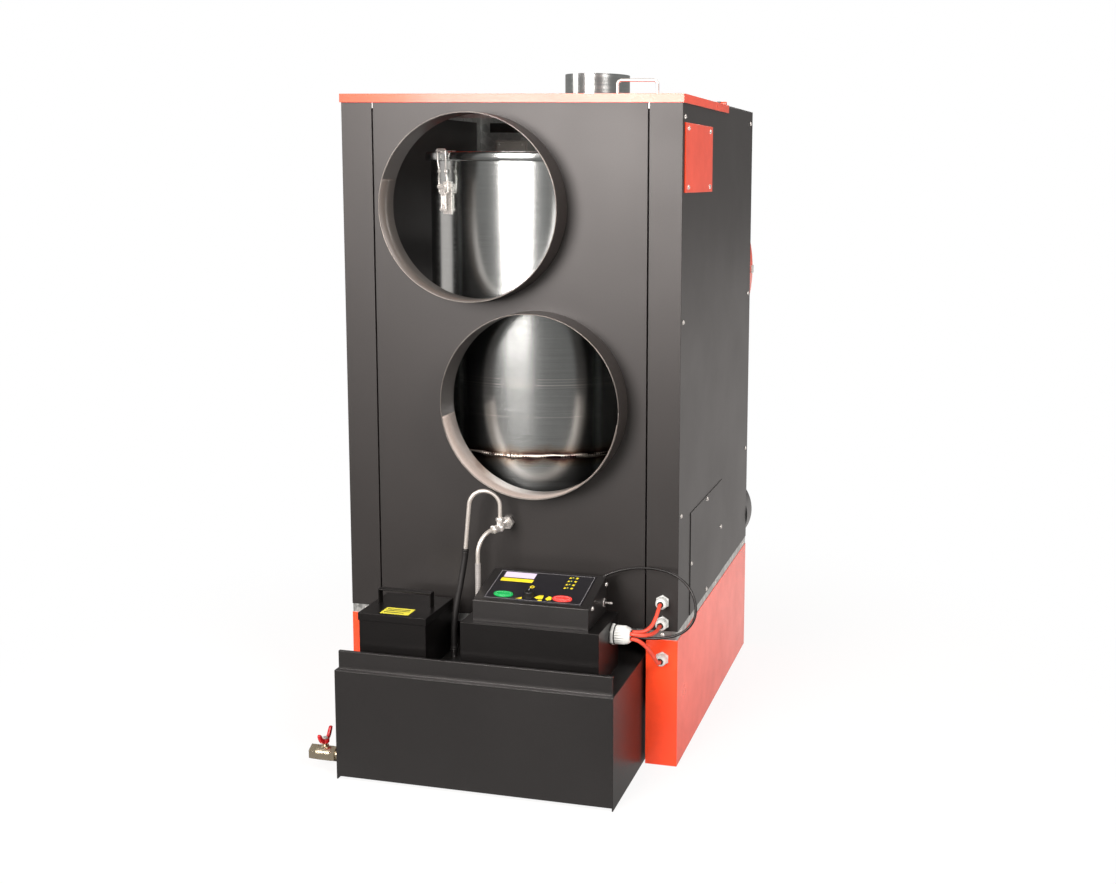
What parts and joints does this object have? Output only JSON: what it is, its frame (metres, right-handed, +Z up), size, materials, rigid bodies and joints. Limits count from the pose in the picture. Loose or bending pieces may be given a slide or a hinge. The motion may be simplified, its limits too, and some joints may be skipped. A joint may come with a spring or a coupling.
{
  "type": "oil stove",
  "caption": "Warm-air oil stove: fan-cooled steel drum in a black and red casing, with round air outlets, a fuel tank and a control box in front.",
  "frame": {"origin": "on the floor, at the middle of the base's footprint", "axes": "+Z up, +Y to the rear (the fan side), +X to the right seen from the front"},
  "size_m": [0.7344, 0.968, 1.37],
  "materials": {
    "red enamel": "glossy enamel",
    "black coat": "satin fine-texture powder coat",
    "galvanised": "galvanised sheet",
    "zinc steel": "bright zinc plate",
    "stainless": "brushed stainless",
    "gasket": "woven glass rope",
    "cast iron": "as cast",
    "motor paint": "semi-gloss paint",
    "aluminium": "cast and pressed",
    "nickel brass": "nickel plated",
    "red coat": "dipped vinyl",
    "grey plastic": "moulded",
    "rubber hose": "smooth",
    "front label": "printed film",
    "green plastic": "moulded",
    "red plastic": "moulded",
    "black plastic": "moulded",
    "board": "lacquered laminate",
    "white polyamide": "moulded",
    "red silicone": "smooth",
    "black jacket": "smooth"
  },
  "bodies": {
    "casing": {"plinth": "red enamel", "badge_plate": "red enamel", "fan_ring": "red enamel", "left_side_panel": "black coat", "right_side_panel": "black coat", "front_panel": "black coat", "rear_panel": "black coat", "rear_top_plate": "black coat", "side_hatch": "black coat", "upper_outlet_collar": "black coat", "lower_outlet_collar": "black coat", "fuel_tank": "black coat", "filler_box": "black coat", "pump_box": "black coat", "control_box": "black coat", "deck_frame": "galvanised", "air_duct": "galvanised", "fan_plate": "galvanised", "casing_screws": "zinc steel", "fan_guard": "zinc steel", "latch_brackets": "zinc steel", "filler_strainer": "zinc steel", "fuel_inlet": "zinc steel", "steel_fuel_pipes": "zinc steel", "chamber_drum": "stainless", "chamber_lid": "stainless", "flue_riser": "stainless", "flue_stub": "stainless", "lid_gasket": "gasket", "burner_pot": "cast iron", "flame_tube": "cast iron", "gear_pump": "cast iron", "blower_motor": "motor paint", "fan_motor": "motor paint", "pump_motor": "motor paint", "blower_housing": "motor paint", "drain_valve_body": "nickel brass", "fan_terminal_box": "grey plastic", "fuel_hoses": "rubber hose", "control_panel": "front label", "circuit_board": "board", "cable_glands": "white polyamide", "silicone_cables": "red silicone", "signal_cable": "black jacket"},
    "cover": {"top_cover": "red enamel", "cover_handle": "zinc steel"},
    "filler_cover": {"filler_lid": "black coat"},
    "drain_plug": {"drain_valve_ball": "nickel brass", "drain_valve_handle": "red coat"},
    "knob": {"power_knob": "black plastic"},
    "start": {"start_button": "green plastic"},
    "stop": {"stop_button": "red plastic"},
    "toggle": {"pump_toggle_lever": "zinc steel"},
    "main_fan": {"fan_impeller": "aluminium"},
    "blower_wheel": {"blower_impeller": "aluminium"},
    "pump_shaft": {"pump_coupling": "nickel brass"},
    "front_lever": {"front_latch_lever": "zinc steel"},
    "front_bail": {"front_latch_bail": "zinc steel"},
    "rear_lever": {"rear_latch_lever": "zinc steel"},
    "rear_bail": {"rear_latch_bail": "zinc steel"}
  },
  "joints": [
    {"name": "cover_hinge", "type": "hinge", "parent": "casing", "child": "cover", "pos_m": [0, 0.0625, 1.2946], "axis": [-1, 0, 0], "range_deg": [0, 100]},
    {"name": "filler_lid_lift", "type": "slide", "parent": "casing", "child": "filler_cover", "axis": [0, 0, 1], "range_m": [0, 0.15]},
    {"name": "drain_turn", "type": "hinge", "parent": "casing", "child": "drain_plug", "pos_m": [-0.31, -0.527, 0.035], "axis": [0, 0, 1], "range_deg": [0, 90]},
    {"name": "power_turn", "type": "hinge", "parent": "casing", "child": "knob", "pos_m": [0.088, -0.48176, 0.36325], "axis": [0, -0.2405, 0.9706], "range_deg": [-60, 60]},
    {"name": "start_press", "type": "slide", "parent": "casing", "child": "start", "axis": [0, 0.2405, -0.9706], "range_m": [0, 0.002], "stiffness_N_per_m": 400},
    {"name": "stop_press", "type": "slide", "parent": "casing", "child": "stop", "axis": [0, 0.2405, -0.9706], "range_m": [0, 0.002], "stiffness_N_per_m": 400},
    {"name": "pump_toggle", "type": "hinge", "parent": "casing", "child": "toggle", "pos_m": [0.212, -0.40982, 0.339], "axis": [0, 1, 0], "range_deg": [-12, 12]},
    {"name": "fan_spin", "type": "hinge", "parent": "casing", "child": "main_fan", "pos_m": [0, 0.37, 0.92], "axis": [0, 1, 0], "continuous": true},
    {"name": "blower_spin", "type": "hinge", "parent": "casing", "child": "blower_wheel", "pos_m": [0.25, 0.38, 0.324], "axis": [0, 1, 0], "continuous": true},
    {"name": "pump_spin", "type": "hinge", "parent": "casing", "child": "pump_shaft", "pos_m": [0.089, -0.457, 0.262], "axis": [1, 0, 0], "continuous": true},
    {"name": "front_latch_lever_swing", "type": "hinge", "parent": "casing", "child": "front_lever", "pos_m": [-0.16306, -0.27792, 1.114], "axis": [-0.809, 0.5878, 0], "range_deg": [0, 150]},
    {"name": "front_latch_bail_swing", "type": "hinge", "parent": "front_lever", "child": "front_bail", "pos_m": [-0.162, -0.27645, 1.10113], "axis": [-0.809, 0.5878, 0], "range_deg": [-175, 0]},
    {"name": "rear_latch_lever_swing", "type": "hinge", "parent": "casing", "child": "rear_lever", "pos_m": [0.13906, 0.13792, 1.114], "axis": [0.809, -0.5878, 0], "range_deg": [0, 150]},
    {"name": "rear_latch_bail_swing", "type": "hinge", "parent": "rear_lever", "child": "rear_bail", "pos_m": [0.138, 0.13645, 1.10113], "axis": [0.809, -0.5878, 0], "range_deg": [-175, 0]}
  ],
  "couplings": [
    {"joint": "front_latch_bail_swing", "follows": "front_latch_lever_swing", "ratio": -1.15},
    {"joint": "rear_latch_bail_swing", "follows": "rear_latch_lever_swing", "ratio": -1.15}
  ]
}
